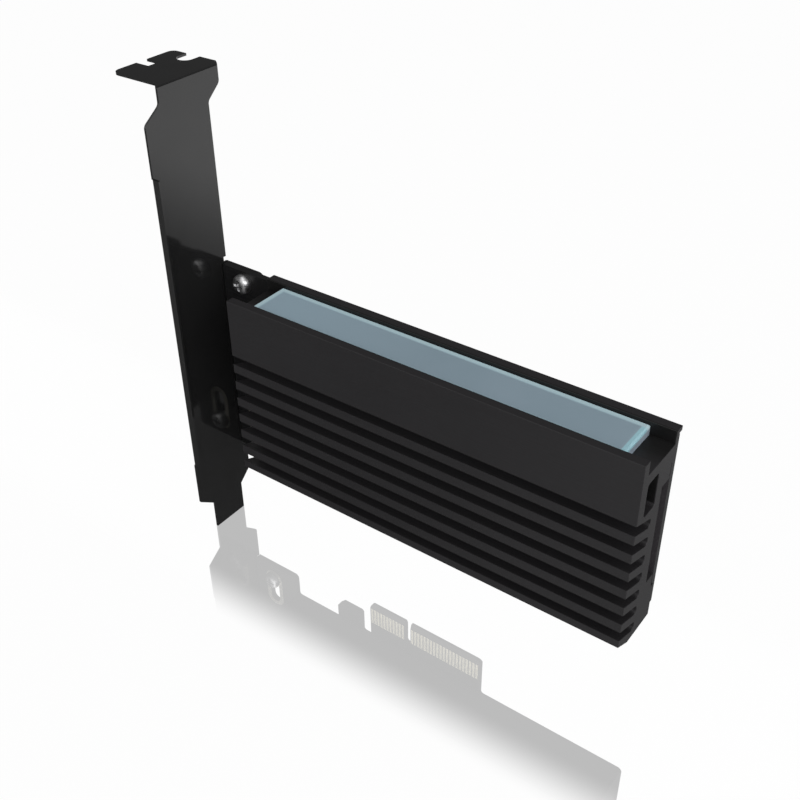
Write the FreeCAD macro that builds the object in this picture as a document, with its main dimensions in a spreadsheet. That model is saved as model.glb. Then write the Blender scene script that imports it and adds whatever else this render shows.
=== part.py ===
"""NVMe adapter card: a PCIe x4 board with an extruded heatsink, a light bar and a slot bracket.

Frame: X runs along the board away from the bracket, Y points to the solder side, Z is up.
The origin is the centre of the key notch, on the lower edge of the contact tongue and in the
middle of the board's thickness. All sizes are millimetres.
"""
import FreeCAD, Part
import math
import os
import re
import Sketcher

SIZES = [
    # board
    ("board_reach_left", 53.3, "key notch to the board's bracket end"),
    ("board_reach_right", 62.15, "key notch to the board's free end"),
    ("board_thick", 1.6, "board thickness"),
    ("board_top", 58.45, "top edge above the contact edge"),
    ("board_bottom", 12.8, "bottom edge above the contact edge"),
    ("foot_bottom", 5.6, "lower edge of the foot beside the bracket"),
    ("foot_length", 14.6, "length of the foot along the board"),
    ("hook_centre", 19.5, "key notch to the middle of the guide hook"),
    ("hook_length", 7.8, "length of the guide hook"),
    ("hook_bottom", 5.5, "lower edge of the guide hook"),
    ("hook_lead", 1.4, "lead-in corner of the guide hook"),
    ("tongue_left", 12.15, "key notch to the tongue's bracket end"),
    ("tongue_right", 22.15, "key notch to the tongue's free end"),
    ("key_length", 1.9, "width of the key notch"),
    ("key_deep", 7.85, "height of the key notch"),
    ("bevel_high", 1.3, "height of the contact edge bevel"),
    ("bevel_deep", 0.45, "depth of the contact edge bevel"),
    ("board_round", 1.2, "outer corner radius of the board"),
    ("notch_round", 0.8, "inner corner radius of the board"),
    # contact pads
    ("pad_pitch", 1.0, "pitch of the contact pads"),
    ("pad_wide", 0.7, "width of a contact pad"),
    ("pad_high", 5.2, "height of a contact pad"),
    ("pad_raise", 1.4, "contact edge to the pads"),
    ("pad_thick", 0.05, "thickness of the plating and of every land"),
    ("key_to_pad", 1.5, "key notch centre to the nearest pad centre"),
    # bracket
    ("bracket_gap", 0.3, "board end to the bracket face"),
    ("sheet", 0.55, "bracket sheet thickness"),
    ("bracket_high", 120.02, "overall height of the bracket"),
    ("bracket_wide", 18.5, "width of the bracket blade"),
    ("toe_drop", 15.2, "contact edge down to the bracket toe"),
    ("toe_wide", 10.19, "width of the toe"),
    ("toe_shift", 3.7, "blade's solder side edge to the toe"),
    ("toe_high", 8.1, "straight height of the toe"),
    ("toe_taper", 3.4, "height of the tapers above the toe"),
    ("neck_high", 4.1, "height of the neck below the tab"),
    ("jog_high", 3.2, "height of the jogs under the neck"),
    ("jog_round", 1.4, "radius of the jogs' corners"),
    ("neck_shift", 3.75, "neck's offset past the blade's solder side edge"),
    ("neck_inset", 4.5, "neck's inset from the blade's component side edge"),
    ("tab_reach", 14.7, "bracket face to the tab's outer edge"),
    ("tab_inset", 1.0, "neck's component side edge to the tab's"),
    ("tab_extra", 1.15, "tab's reach past the neck on the solder side"),
    ("tab_ease", 1.5, "length of the slants that lead from the fold to the tab's sides"),
    ("tab_round", 2.0, "outer corner radius of the tab"),
    ("tip_round", 1.6, "radius of the slot's finger"),
    ("fold_round", 0.5, "outer radius of the folds"),
    ("slot_wide", 4.15, "width of the screw slot in the tab"),
    ("slot_centre", 8.4, "bracket face to the middle of the screw slot"),
    ("slot_deep", 2.2, "tab's solder side edge to the slot's end centre"),
    ("locator_wide", 3.1, "width of the locating notch in the tab"),
    ("locator_deep", 3.75, "depth of the locating notch"),
    ("locator_shift", 7.0, "tab's component side edge to the notch"),
    ("rim_deep", 1.55, "depth of the stiffening rim"),
    ("rim_low", 8.3, "lower end of the stiffening rim above the contact edge"),
    ("rim_high", 77.5, "height of the stiffening rim"),
    ("ear_length", 11.5, "bracket face to the end of an ear"),
    ("ear_high", 6.2, "height of an ear"),
    ("ear_round", 1.6, "corner radius of an ear"),
    ("relief_high", 1.4, "height of the bend relief beside an ear"),
    ("relief_deep", 0.8, "depth of the bend relief beside an ear"),
    # mounting screws of the bracket
    ("mount_x", 6.65, "bracket face to the mounting holes"),
    ("mount_high", 55.4, "upper mounting hole above the contact edge"),
    ("mount_low", 10.4, "lower mounting screw and the lower end centre of its slot"),
    ("mount_hole", 1.65, "radius of the mounting holes"),
    ("mount_slot", 7.15, "length between the end centres of the lower slot"),
    ("mount_land", 1.25, "width of the land around a mounting hole"),
    ("mount_shank", 1.5, "radius of the mounting screw thread"),
    ("mount_head", 2.75, "radius of the mounting screw head"),
    ("mount_crown", 2.0, "height of the mounting screw head"),
    ("mount_length", 4.2, "length of the mounting screw under its head"),
    # heatsink
    ("sink_start", 15.2, "bracket face to the heatsink"),
    ("sink_overhang", 0.35, "reach of the heatsink past the board's free end"),
    ("sink_deep", 14.4, "depth of the heatsink in front of the board"),
    ("sink_top", 60.1, "top of the front wall above the contact edge"),
    ("sink_bottom", 11.3, "underside of the heatsink"),
    ("sink_slope_high", 2.4, "height of the sloped underside"),
    ("sink_slope_deep", 4.6, "depth of the sloped underside"),
    ("front_wall", 2.1, "thickness of the front wall"),
    ("back_wall", 0.9, "thickness of the wall behind the light bar"),
    ("channel_floor", 56.7, "floor of the light channel"),
    ("lip_thick", 1.1, "thickness of the lip over the board"),
    ("lip_gap", 0.1, "clearance of the lip over the board"),
    ("lip_reach", 1.5, "reach of the lip over the board"),
    ("chamber_deep", 4.6, "depth of the hollow chamber"),
    ("chamber_high", 8.0, "height of the hollow chamber"),
    ("chamber_low", 46.0, "underside of the hollow chamber"),
    ("chamber_wall", 2.8, "front face to the hollow chamber"),
    ("chamber_round", 0.7, "corner radius of the hollow chamber"),
    ("bay_deep", 4.3, "depth of the drive bay"),
    ("bay_middle", 36.25, "middle of the drive bay"),
    ("bay_high", 24.9, "height of the drive bay's back wall"),
    ("rebate_high", 3.6, "height of the rebates above and below the drive bay"),
    ("rebate_deep", 1.2, "depth of the rebates at the board"),
    ("groove_top", 45.9, "upper edge of the highest groove"),
    ("groove_pitch", 4.645, "pitch of the grooves"),
    ("groove_high", 2.35, "height of a groove"),
    ("groove_deep", 6.9, "depth of a groove"),
    ("groove_drop", 2.7, "fall of a groove over its depth"),
    ("groove_round", 0.9, "inner corner radius of a groove"),
    ("groove_count", 7, "number of grooves"),
    # heatsink screws
    ("clamp_in", 7.5, "heatsink end to a clamp screw"),
    ("clamp_high", 54.2, "upper clamp screws above the contact edge"),
    ("clamp_low", 17.0, "lower clamp screws above the contact edge"),
    ("clamp_shank", 1.25, "radius of a clamp screw thread"),
    ("hole_gap", 0.1, "clearance of a stem in a plain hole of the board"),
    ("thread_gap", 0.05, "clearance of a thread in its tapped hole"),
    ("clamp_head", 2.4, "radius of a clamp screw head"),
    ("clamp_crown", 1.5, "height of a clamp screw head"),
    ("clamp_length", 5.0, "length of a clamp screw under its head"),
    ("clamp_spare", 0.6, "free depth past the end of a clamp screw"),
    # light bar
    ("bar_start", 4.9, "heatsink's bracket end to the light bar"),
    ("bar_end", 5.3, "light bar to the heatsink's free end"),
    ("bar_thick", 2.4, "thickness of the light bar"),
    ("bar_gap", 0.15, "clearance of the light bar in the channel"),
    ("bar_bevel", 0.35, "bevel of the light bar's upper edges"),
    ("strip_inset", 4.35, "light bar's end to the LED strip"),
    ("strip_wide", 5.0, "width of the LED strip"),
    ("strip_thick", 0.6, "thickness of the LED strip"),
    ("strip_gap", 0.2, "clearance around the LED strip"),
    ("led_size", 2.0, "side of an LED"),
    ("led_high", 0.7, "height of an LED"),
    ("led_pitch", 13.0, "pitch of the LEDs"),
    # drive socket
    ("socket_start", 3.6, "heatsink end to the drive socket"),
    ("socket_length", 8.0, "length of the drive socket"),
    ("socket_wide", 21.9, "width of the drive socket"),
    ("socket_high", 3.2, "height of the drive socket"),
    ("mouth_deep", 4.4, "depth of the drive socket's mouth"),
    ("mouth_high", 1.0, "opening of the drive socket's mouth"),
    ("mouth_raise", 1.45, "board to the drive socket's mouth"),
    ("mouth_end", 0.9, "end wall of the drive socket's mouth"),
    ("rib_wide", 1.1, "width of the drive socket's key rib"),
    ("rib_shift", 6.1, "socket middle to the key rib"),
    ("tail_pitch", 0.5, "pitch of the socket tails"),
    ("tail_wide", 0.2, "width of a socket tail"),
    ("tail_long", 1.0, "length of a socket tail"),
    ("tail_high", 0.15, "thickness of a socket tail"),
    ("drive_short", 42.0, "length of the shortest drive, from its contacts to its screw"),
    ("drive_medium", 60.0, "length of the medium drive"),
    ("drive_long", 80.0, "length of the longest drive, which the stand-off is set for"),
    ("drive_seat", 3.5, "end of the drive inside the socket's mouth"),
    ("post_high", 1.55, "height of the drive stand-off"),
    ("post_radius", 2.3, "radius of the drive stand-off"),
    ("post_hole", 1.0, "thread radius of the drive stand-off"),
    ("post_stem", 1.7, "radius of the stand-off's stem in the board"),
    ("post_land", 0.9, "width of the land around a stand-off hole"),
    ("drive_head", 1.75, "radius of the drive screw head"),
    ("drive_crown", 0.9, "height of the drive screw head"),
    ("drive_shank", 3.0, "length of the drive screw under its head"),
    # cross recesses of the screws
    ("cross_long", 0.55, "half length of a recess arm per head radius"),
    ("cross_wide", 0.13, "half width of a recess arm per head radius"),
    ("cross_deep", 0.6, "depth of a recess per head height"),
    ("dome_share", 0.7, "rounding of a head's rim per head height"),
    # light connector
    ("plug_in", 20.5, "heatsink end to the middle of the light connector"),
    ("plug_raise", 48.4, "underside of the light connector above the contact edge"),
    ("pin_pitch", 2.54, "pitch of the connector pins"),
    ("pin_side", 0.64, "side of a connector pin"),
    ("pin_long", 6.0, "length of a pin above its base"),
    ("base_high", 2.5, "height of the connector base"),
    ("base_deep", 2.5, "depth of the connector base off the board"),
    # power parts
    ("power_x", 7.0, "bracket face to the middle of the power parts"),
    ("coil_side", 4.2, "side of the inductor"),
    ("coil_high", 2.0, "height of the inductor"),
    ("coil_z", 24.5, "height of the inductor on the board"),
    ("chip_long", 3.0, "length of the regulator"),
    ("chip_wide", 1.7, "width of the regulator"),
    ("chip_high", 1.1, "height of the regulator"),
    ("chip_z", 31.5, "height of the regulator on the board"),
    ("lead_pitch", 0.95, "pitch of the regulator leads"),
    ("lead_wide", 0.4, "width of a regulator lead"),
    ("lead_long", 0.6, "length of a regulator lead"),
    ("can_long", 2.0, "length of a power capacitor"),
    ("can_wide", 1.25, "width of a power capacitor"),
    ("can_high", 1.2, "height of a power capacitor"),
    ("can_shift", 4.4, "regulator middle to the power capacitors"),
    ("can_pitch", 2.4, "pitch of the power capacitors"),
    # small parts on the solder side
    ("cap_long", 1.0, "length of a coupling capacitor"),
    ("cap_wide", 0.5, "width of a coupling capacitor"),
    ("cap_high", 0.5, "height of a coupling capacitor"),
    ("cap_pitch", 2.0, "pitch of the coupling capacitors"),
    ("cap_raise", 3.4, "tongue's root to the coupling capacitors"),
    ("chip_rest_pitch", 3.0, "pitch of the chip resistors"),
    ("chip_rest_z", 40.0, "height of the chip resistors"),
]

doc = FreeCAD.newDocument("nvme_adapter_card")
sheet = doc.addObject("Spreadsheet::Sheet", "Sizes")
for row, (alias, size, meaning) in enumerate(SIZES, start=1):
    sheet.set("A%d" % row, meaning)
    sheet.set("B%d" % row, str(size))
    sheet.setAlias("B%d" % row, alias)
doc.recompute()

# Places that several pieces share, as expressions of the sheet's sizes.
WORDS = {alias for alias, size, meaning in SIZES}
FRONT = "(-board_thick / 2)"
BACK = "(board_thick / 2)"
FACE = "(-board_reach_left - bracket_gap)"
SINK_LEFT = "(%s + sink_start)" % FACE
SINK_RIGHT = "(board_reach_right + sink_overhang)"
SINK_LENGTH = "(%s - %s)" % (SINK_RIGHT, SINK_LEFT)
SINK_FRONT = "(%s - sink_deep)" % FRONT
MOUNT = "(%s + mount_x)" % FACE
CLAMP_LEFT = "(%s + clamp_in)" % SINK_LEFT
CLAMP_RIGHT = "(%s - clamp_in)" % SINK_RIGHT
BAR_LEFT = "(%s + bar_start)" % SINK_LEFT
BAR_RIGHT = "(%s - bar_end)" % SINK_RIGHT
STRIP_LEFT = "(%s + strip_inset)" % BAR_LEFT
STRIP_RIGHT = "(%s - strip_inset)" % BAR_RIGHT
SOCKET = "(%s + socket_start)" % SINK_LEFT
DRIVE_START = "(%s + socket_length - drive_seat)" % SOCKET
DRIVE_PLACES = ["(%s + %s)" % (DRIVE_START, word)
                for word in ("drive_short", "drive_medium", "drive_long")]
DRIVE_END = DRIVE_PLACES[-1]
FRONT_WALL_IN = "(%s + front_wall)" % SINK_FRONT
BACK_WALL_IN = "(%s - back_wall)" % FRONT
BAR_MIDDLE = "((%s + %s) / 2)" % (FRONT_WALL_IN, BACK_WALL_IN)
PLUG = "(%s + plug_in)" % SINK_LEFT
POWER = "(%s + power_x)" % FACE

# How many of each repeated piece there are.
NEAR_PADS = 11
FAR_PADS = 21
REAR_TAILS = 34
MOUTH_TAILS = 33
LEADS_A_SIDE = 3
POWER_CAPACITORS = 3
COUPLING_CAPACITORS = 8
RESISTORS = 3
PINS = (0, 1, 3)
PIN_PLACES = 4

CLOSE = 1e-3


def bind(text):
    """Turn the sheet's words in an expression into references to its cells."""
    return re.sub(r"[a-z][a-z_]+", lambda word: "Sizes." + word.group(0)
                  if word.group(0) in WORDS else word.group(0), text)


def number(text):
    """The present value of an expression."""
    return float(sheet.evalExpression(bind(text)))


def plane(body, role):
    """An origin plane of a body."""
    return [item for item in body.Origin.OriginFeatures if item.Role == role][0]


def new_sketch(body, name, role, offset="0"):
    """A sketch on an origin plane, moved along the plane's normal."""
    sketch = body.newObject("Sketcher::SketchObject", name)
    sketch.AttachmentSupport = [(plane(body, role), "")]
    sketch.MapMode = "FlatFace"
    sketch.setExpression("AttachmentOffset.Base.z", bind(offset))
    return sketch


def hold(sketch, element, point, across, up):
    """Tie one point of a sketch to two expressions measured from its origin."""
    for kind, text in (("DistanceX", across), ("DistanceY", up)):
        place = sketch.addConstraint(
            Sketcher.Constraint(kind, -1, 1, element, point, number(text)))
        sketch.setExpression("Constraints[%d]" % place, bind(text))


def outline(sketch, corners):
    """A closed outline of straight lines through corners given as pairs of expressions."""
    first = sketch.GeometryCount
    count = len(corners)
    points = [FreeCAD.Vector(number(across), number(up), 0) for across, up in corners]
    for item in range(count):
        line = Part.LineSegment(points[item], points[(item + 1) % count])
        sketch.addGeometry(line, False)
    for item in range(count):
        sketch.addConstraint(Sketcher.Constraint(
            "Coincident", first + item, 2, first + (item + 1) % count, 1))
        hold(sketch, first + item, 1, *corners[item])


def rectangle(sketch, left, low, right, high):
    """A rectangle between two opposite corners."""
    outline(sketch, [(left, low), (right, low), (right, high), (left, high)])


def ring(sketch, across, up, radius):
    """A circle at a place given by two expressions."""
    centre = FreeCAD.Vector(number(across), number(up), 0)
    circle = sketch.addGeometry(
        Part.Circle(centre, FreeCAD.Vector(0, 0, 1), number(radius)), False)
    hold(sketch, circle, 3, across, up)
    place = sketch.addConstraint(Sketcher.Constraint("Radius", circle, number(radius)))
    sketch.setExpression("Constraints[%d]" % place, bind(radius))


def obround(sketch, across, low, high, radius):
    """An upright slot with round ends, between two end centres."""
    middle = number(across)
    size = number(radius)
    foot = FreeCAD.Vector(middle, number(low), 0)
    head = FreeCAD.Vector(middle, number(high), 0)
    side = FreeCAD.Vector(size, 0, 0)
    normal = FreeCAD.Vector(0, 0, 1)
    base = sketch.addGeometry(Part.ArcOfCircle(
        Part.Circle(foot, normal, size), math.pi, 2 * math.pi), False)
    right = sketch.addGeometry(Part.LineSegment(foot + side, head + side), False)
    crown = sketch.addGeometry(Part.ArcOfCircle(
        Part.Circle(head, normal, size), 0, math.pi), False)
    left = sketch.addGeometry(Part.LineSegment(head - side, foot - side), False)
    for one, end, other, start in ((base, 2, right, 1), (right, 2, crown, 1),
                                   (crown, 2, left, 1), (left, 2, base, 1)):
        sketch.addConstraint(Sketcher.Constraint("Tangent", one, end, other, start))
    hold(sketch, base, 3, across, low)
    place = sketch.addConstraint(
        Sketcher.Constraint("DistanceY", -1, 1, crown, 3, number(high)))
    sketch.setExpression("Constraints[%d]" % place, bind(high))
    place = sketch.addConstraint(Sketcher.Constraint("Radius", base, size))
    sketch.setExpression("Constraints[%d]" % place, bind(radius))


def fold_waste(sketch, across, up, radius):
    """What a round fold leaves off a square corner, whose sides run to the right and up."""
    size = number(radius)
    corner = FreeCAD.Vector(number(across), number(up), 0)
    right = corner + FreeCAD.Vector(size, 0, 0)
    above = corner + FreeCAD.Vector(0, size, 0)
    centre = corner + FreeCAD.Vector(size, size, 0)
    low = sketch.addGeometry(Part.LineSegment(corner, right), False)
    bend = sketch.addGeometry(Part.ArcOfCircle(
        Part.Circle(centre, FreeCAD.Vector(0, 0, 1), size), math.pi, 1.5 * math.pi), False)
    side = sketch.addGeometry(Part.LineSegment(above, corner), False)
    sketch.addConstraint(Sketcher.Constraint("Tangent", low, 2, bend, 2))
    sketch.addConstraint(Sketcher.Constraint("Tangent", bend, 1, side, 1))
    sketch.addConstraint(Sketcher.Constraint("Coincident", side, 2, low, 1))
    hold(sketch, low, 1, across, up)
    hold(sketch, bend, 3, "%s + %s" % (across, radius), "%s + %s" % (up, radius))


def new_body(label):
    """A body that becomes one node of the part."""
    body = doc.addObject("PartDesign::Body", label)
    body.Label = label
    body.AllowCompound = True
    return body


def pad(body, sketch, length, both=False, reverse=False):
    """Add material along the sketch's normal."""
    feature = body.newObject("PartDesign::Pad", sketch.Name + "_pad")
    feature.Profile = sketch
    feature.setExpression("Length", bind(length))
    feature.Midplane = both
    feature.Reversed = reverse
    doc.recompute()
    return feature


def pocket(body, sketch, length, both=False, reverse=False):
    """Take material away along the sketch's normal, and make sure that it did."""
    before = body.Shape.Volume
    feature = body.newObject("PartDesign::Pocket", sketch.Name + "_pocket")
    feature.Profile = sketch
    feature.setExpression("Length", bind(length))
    feature.Midplane = both
    feature.Reversed = reverse
    doc.recompute()
    if body.Shape.Volume > before - 1e-4:
        raise ValueError(sketch.Name + " cuts nothing")
    return feature


def repeat(body, feature, role, pitch, count, reverse=False):
    """Repeat a feature along an origin axis at a pitch."""
    pattern = body.newObject("PartDesign::LinearPattern", feature.Name + "_row")
    pattern.Originals = [feature]
    pattern.Direction = (plane(body, role), [""])
    pattern.Mode = "Spacing"
    pattern.setExpression("Offset", bind(pitch))
    pattern.setExpression("Occurrences", bind(count))
    pattern.Reversed = reverse
    body.Tip = pattern
    doc.recompute()
    return pattern


def near(edge, axis, places):
    """Whether an edge runs along an axis through one of the given places."""
    if edge.Curve.TypeId != "Part::GeomLine":
        return False
    others = [item for item in range(3) if item != axis]
    ends = [vertex.Point for vertex in edge.Vertexes]
    return any(all(abs(end[item] - place) < CLOSE
                   for end in ends for item, place in zip(others, spot))
               for spot in places)


def dress(body, kind, chosen, prop, size):
    """Fillet or chamfer the edges of a body that a test picks."""
    base = body.Tip
    names = ["Edge%d" % (item + 1) for item, edge in enumerate(base.Shape.Edges) if chosen(edge)]
    feature = body.newObject("PartDesign::" + kind, "%s_dress%d" % (body.Name, len(body.Group)))
    feature.Base = (base, names)
    feature.setExpression(prop, bind(size))
    doc.recompute()
    return feature


def round_corners(body, axis, places, radius):
    """Round the edges along an axis that pass through the places, given as expressions."""
    spots = [(number(one), number(two)) for one, two in places]
    return dress(body, "Fillet", lambda edge: near(edge, axis, spots), "Radius", radius)


def lies_at(edge, axis, level):
    """Whether an edge lies in the plane across an axis at a level."""
    return all(abs(point[axis] - level) < CLOSE for point in edge.discretize(4))


def block(name, low, size):
    """A box from its low corner and its size, both as expressions."""
    item = doc.addObject("Part::Box", name)
    for axis, text in zip("xyz", low):
        item.setExpression("Placement.Base." + axis, bind(text))
    for prop, text in zip(("Length", "Width", "Height"), size):
        item.setExpression(prop, bind(text))
    return item


def gather(label, items):
    """Hold several like pieces in one node."""
    group = doc.addObject("Part::Compound", label)
    group.Label = label
    group.Links = items
    doc.recompute()
    return group


def make_board():
    """The circuit board with its foot, guide hook, tongue, key notch and holes."""
    body = new_body("board")
    sketch = new_sketch(body, "board_outline", "XZ_Plane")
    left = "-board_reach_left"
    right = "board_reach_right"
    foot = "(-board_reach_left + foot_length)"
    hook_left = "(-hook_centre - hook_length / 2)"
    hook_right = "(-hook_centre + hook_length / 2)"
    outline(sketch, [
        (left, "foot_bottom"),
        (foot, "foot_bottom"),
        (foot, "board_bottom"),
        (hook_left, "board_bottom"),
        (hook_left, "hook_bottom + hook_lead"),
        (hook_left + " + hook_lead", "hook_bottom"),
        (hook_right, "hook_bottom"),
        (hook_right, "board_bottom"),
        ("-tongue_left", "board_bottom"),
        ("-tongue_left", "0"),
        ("-key_length / 2", "0"),
        ("-key_length / 2", "key_deep"),
        ("key_length / 2", "key_deep"),
        ("key_length / 2", "0"),
        ("tongue_right", "0"),
        ("tongue_right", "board_bottom"),
        (right, "board_bottom"),
        (right, "board_top"),
        (left, "board_top"),
    ])
    ring(sketch, MOUNT, "mount_high", "mount_hole")
    obround(sketch, MOUNT, "mount_low", "mount_low + mount_slot", "mount_hole")
    for across in (CLAMP_LEFT, CLAMP_RIGHT):
        for up in ("clamp_high", "clamp_low"):
            ring(sketch, across, up, "clamp_shank + hole_gap")
    for across in DRIVE_PLACES:
        ring(sketch, across, "bay_middle", "post_stem + hole_gap")
    pad(body, sketch, "board_thick", both=True)
    round_corners(body, 1, [(foot, "foot_bottom"), (right, "board_bottom"),
                            (right, "board_top"), ("tongue_right", "0"),
                            ("-tongue_left", "0")], "board_round")
    round_corners(body, 1, [(foot, "board_bottom"), (hook_left, "board_bottom"),
                            (hook_right, "board_bottom"), ("-tongue_left", "board_bottom"),
                            ("tongue_right", "board_bottom"), (hook_right, "hook_bottom"),
                            ("-key_length / 2", "key_deep"),
                            ("key_length / 2", "key_deep")], "notch_round")
    bevel = new_sketch(body, "board_bevel", "YZ_Plane")
    for side in ("-", ""):
        outline(bevel, [
            (side + "board_thick / 2", "0"),
            (side + "board_thick / 2", "bevel_high"),
            (side + "(board_thick / 2 - bevel_deep)", "0"),
        ])
    pocket(body, bevel, "2 * (board_reach_left + board_reach_right)", both=True)
    return body


def make_contacts(label, side, out):
    """The gold contact pads on one face of the tongue, on both sides of the key notch."""
    places = ["-key_to_pad - %d * pad_pitch" % item for item in range(NEAR_PADS)]
    places += ["key_to_pad + %d * pad_pitch" % item for item in range(FAR_PADS)]
    items = [block("%s_%d" % (label, item),
                   (place + " - pad_wide / 2", side + out, "pad_raise"),
                   ("pad_wide", "pad_thick", "pad_high"))
             for item, place in enumerate(places)]
    return gather(label, items)


def make_mount_lands():
    """The bare solder lands around the bracket's mounting holes."""
    body = new_body("mount_lands")
    sketch = new_sketch(body, "mount_lands_outline", "XZ_Plane", "board_thick / 2")
    ring(sketch, MOUNT, "mount_high", "mount_hole + mount_land")
    ring(sketch, MOUNT, "mount_high", "mount_hole")
    obround(sketch, MOUNT, "mount_low", "mount_low + mount_slot", "mount_hole + mount_land")
    obround(sketch, MOUNT, "mount_low", "mount_low + mount_slot", "mount_hole")
    pad(body, sketch, "pad_thick")
    return body


def make_drive_lands():
    """The round lands at the drive stand-off's three places."""
    body = new_body("drive_lands")
    sketch = new_sketch(body, "drive_lands_outline", "XZ_Plane", "board_thick / 2")
    for across in DRIVE_PLACES:
        ring(sketch, across, "bay_middle", "post_stem + post_land")
        ring(sketch, across, "bay_middle", "post_stem + hole_gap")
    pad(body, sketch, "pad_thick")
    return body


def make_bracket():
    """The folded slot bracket: blade, toe, neck, tab with its slots, rim and two ears."""
    body = new_body("bracket")
    edge = BACK
    far = "(board_thick / 2 - bracket_wide)"
    low = "-toe_drop"
    top = "(bracket_high - toe_drop)"
    neck_left = "(board_thick / 2 - bracket_wide + neck_inset)"
    neck_right = "(board_thick / 2 + neck_shift)"
    toe_right = "(board_thick / 2 - toe_shift)"
    toe_left = "(board_thick / 2 - toe_shift - toe_wide)"
    ear_tops = {"low": "mount_low", "high": "mount_high"}
    blade = new_sketch(body, "bracket_blade", "YZ_Plane", FACE)
    corners = [
        (toe_left, low),
        (toe_right, low),
        (toe_right, low + " + toe_high"),
        (edge, low + " + toe_high + toe_taper"),
    ]
    for middle in (ear_tops["low"], ear_tops["high"]):
        bottom = "(%s - ear_high / 2)" % middle
        upper = "(%s + ear_high / 2)" % middle
        corners += [
            (edge, bottom + " - relief_high"),
            (edge + " - relief_deep", bottom + " - relief_high"),
            (edge + " - relief_deep", bottom),
            (edge + " + sheet", bottom),
            (edge + " + sheet", upper),
            (edge + " - relief_deep", upper),
            (edge + " - relief_deep", upper + " + relief_high"),
            (edge, upper + " + relief_high"),
        ]
    corners += [
        (edge, top + " - neck_high - jog_high"),
        (neck_right, top + " - neck_high"),
        (neck_right, top),
        (neck_left, top),
        (neck_left, top + " - neck_high"),
        (far, top + " - neck_high - jog_high"),
        (far, low + " + toe_high + toe_taper"),
        (toe_left, low + " + toe_high"),
    ]
    outline(blade, corners)
    pad(body, blade, "sheet", reverse=True)

    tab = new_sketch(body, "bracket_tab", "XY_Plane", top + " - sheet")
    outer = "(%s - tab_reach)" % FACE
    tab_right = "(%s + tab_extra)" % neck_right
    tab_left = "(%s + tab_inset)" % neck_left
    notch = "(%s + locator_shift)" % tab_left
    outline(tab, [
        (FACE, neck_left),
        (FACE, neck_right),
        ("%s - tab_ease" % FACE, tab_right),
        (outer, tab_right),
        (outer, notch + " + locator_wide"),
        (outer + " + locator_deep", notch + " + locator_wide"),
        (outer + " + locator_deep", notch),
        (outer, notch),
        (outer, tab_left),
        ("%s - tab_ease" % FACE, tab_left),
    ])
    pad(body, tab, "sheet")
    gap = new_sketch(body, "bracket_slot", "XY_Plane", top)
    slot = "(%s - slot_centre)" % FACE
    rectangle(gap, slot + " - slot_wide / 2", tab_right + " - slot_deep",
              slot + " + slot_wide / 2", tab_right + " + sheet")
    pocket(body, gap, "sheet")
    gap_end = new_sketch(body, "bracket_slot_end", "XY_Plane", top)
    ring(gap_end, slot, tab_right + " - slot_deep", "slot_wide / 2")
    pocket(body, gap_end, "sheet")

    rim = new_sketch(body, "bracket_rim", "XY_Plane", "rim_low")
    rectangle(rim, "%s - sheet" % FACE, far, "%s + rim_deep" % FACE, far + " + sheet")
    pad(body, rim, "rim_high")
    fold = new_sketch(body, "bracket_rim_fold", "XY_Plane", "rim_low")
    fold_waste(fold, "(%s - sheet)" % FACE, far, "fold_round")
    pocket(body, fold, "rim_high", reverse=True)

    for place, middle in ear_tops.items():
        ear = new_sketch(body, "bracket_ear_" + place, "XZ_Plane", "-" + edge)
        rectangle(ear, "%s - sheet" % FACE, "%s - ear_high / 2" % middle,
                  "%s + ear_length" % FACE, "%s + ear_high / 2" % middle)
        ring(ear, MOUNT, middle, "mount_shank")
        pad(body, ear, "sheet", reverse=True)

    ear_end = "(%s + ear_length)" % FACE
    round_corners(body, 2, [(outer, tab_left)], "tab_round")
    round_corners(body, 2, [(outer, tab_right)], "tip_round")
    round_corners(body, 0, [(neck_left, top + " - neck_high"), (neck_right, top + " - neck_high"),
                            (far, top + " - neck_high - jog_high"),
                            (edge, top + " - neck_high - jog_high")], "jog_round")
    round_corners(body, 1, [(ear_end, "%s %s ear_high / 2" % (middle, sign))
                            for middle in ear_tops.values() for sign in "+-"], "ear_round")
    round_corners(body, 1, [(FACE, top)], "fold_round")
    round_corners(body, 2, [("%s - sheet" % FACE, BACK + " + sheet")], "fold_round")
    return body


def cross(sketch, across, up, half_long, half_wide):
    """The outline of a cross recess."""
    corners = []
    for one, two in ((1, 1), (-1, 1), (-1, -1), (1, -1)):
        arm = ("%s + %d * %s" % (across, one, half_long), "%s + %d * %s" % (up, two, half_wide))
        heart = ("%s + %d * %s" % (across, one, half_wide), "%s + %d * %s" % (up, two, half_wide))
        leg = ("%s + %d * %s" % (across, one, half_wide), "%s + %d * %s" % (up, two, half_long))
        corners += [arm, heart, leg] if one == two else [leg, heart, arm]
    outline(sketch, corners)


def make_screw(label, across, up, seat, front, head, crown, shank, length):
    """A pan head screw along Y: head on one side of its seat, thread on the other."""
    body = new_body(label)
    top = "(%s %s %s)" % (seat, "-" if front else "+", crown)
    cap = new_sketch(body, label + "_head", "XZ_Plane", "-" + seat)
    ring(cap, across, up, head)
    pad(body, cap, crown, reverse=not front)
    level = number(top)
    dress(body, "Fillet", lambda edge: lies_at(edge, 1, level), "Radius", crown + " * dome_share")
    stem = new_sketch(body, label + "_thread", "XZ_Plane", "-" + seat)
    ring(stem, across, up, shank)
    pad(body, stem, length, reverse=front)
    drive = new_sketch(body, label + "_drive", "XZ_Plane", "-" + top)
    cross(drive, across, up, head + " * cross_long", head + " * cross_wide")
    pocket(body, drive, crown + " * cross_deep", reverse=not front)
    return body


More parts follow.
